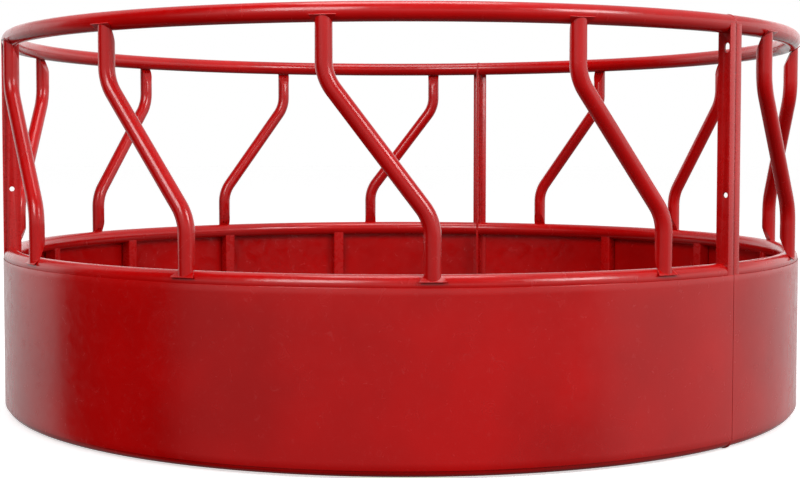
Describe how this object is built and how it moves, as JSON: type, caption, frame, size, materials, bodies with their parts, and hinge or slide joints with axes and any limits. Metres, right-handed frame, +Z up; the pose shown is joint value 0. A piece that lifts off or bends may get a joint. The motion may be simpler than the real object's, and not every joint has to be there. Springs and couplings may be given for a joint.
{
  "type": "round bale feeder",
  "caption": "Round bale feeder: bolted steel ring sections with top, mid and bottom ring tubes, a skirt sheet below and S-bent slanted feed bars above.",
  "frame": {"origin": "on the ring's vertical axis, on the ground under the feet", "axes": "+Z up along the ring's axis; -Y points out through the front section, which faces the viewer, and +X is to that viewer's right"},
  "size_m": [2.4545, 2.453, 1.1199],
  "materials": {
    "tube_paint": "glossy red paint on tube",
    "skirt_paint": "glossy red paint on sheet",
    "angle_paint": "glossy red paint on hot-rolled angle",
    "post_paint": "glossy red paint on square tube",
    "zinc_plate": "zinc plated"
  },
  "bodies": {
    "root": {"front_bottom_ring_tube": "tube_paint", "front_mid_ring_tube": "tube_paint", "front_top_ring_tube": "tube_paint", "front_skirt_sheet": "skirt_paint", "front_end_angle_left": "angle_paint", "front_end_angle_right": "angle_paint", "front_feed_bar_1": "tube_paint", "front_feed_bar_2": "tube_paint", "front_feed_bar_3": "tube_paint", "front_feed_bar_4": "tube_paint", "front_skirt_post_1": "post_paint", "front_skirt_post_2": "post_paint", "front_skirt_post_3": "post_paint", "front_skirt_post_4": "post_paint", "front_joint_bolt_1": "zinc_plate", "front_joint_nut_1": "zinc_plate", "front_joint_bolt_2": "zinc_plate", "front_joint_nut_2": "zinc_plate", "right_bottom_ring_tube": "tube_paint", "right_mid_ring_tube": "tube_paint", "right_top_ring_tube": "tube_paint", "right_skirt_sheet": "skirt_paint", "right_end_angle_left": "angle_paint", "right_end_angle_right": "angle_paint", "right_feed_bar_1": "tube_paint", "right_feed_bar_2": "tube_paint", "right_feed_bar_3": "tube_paint", "right_feed_bar_4": "tube_paint", "right_skirt_post_1": "post_paint", "right_skirt_post_2": "post_paint", "right_skirt_post_3": "post_paint", "right_skirt_post_4": "post_paint", "right_joint_bolt_1": "zinc_plate", "right_joint_nut_1": "zinc_plate", "right_joint_bolt_2": "zinc_plate", "right_joint_nut_2": "zinc_plate", "left_bottom_ring_tube": "tube_paint", "left_mid_ring_tube": "tube_paint", "left_top_ring_tube": "tube_paint", "left_skirt_sheet": "skirt_paint", "left_end_angle_left": "angle_paint", "left_end_angle_right": "angle_paint", "left_feed_bar_1": "tube_paint", "left_feed_bar_2": "tube_paint", "left_feed_bar_3": "tube_paint", "left_feed_bar_4": "tube_paint", "left_skirt_post_1": "post_paint", "left_skirt_post_2": "post_paint", "left_skirt_post_3": "post_paint", "left_skirt_post_4": "post_paint", "left_joint_bolt_1": "zinc_plate", "left_joint_nut_1": "zinc_plate", "left_joint_bolt_2": "zinc_plate", "left_joint_nut_2": "zinc_plate"}
  },
  "joints": []
}
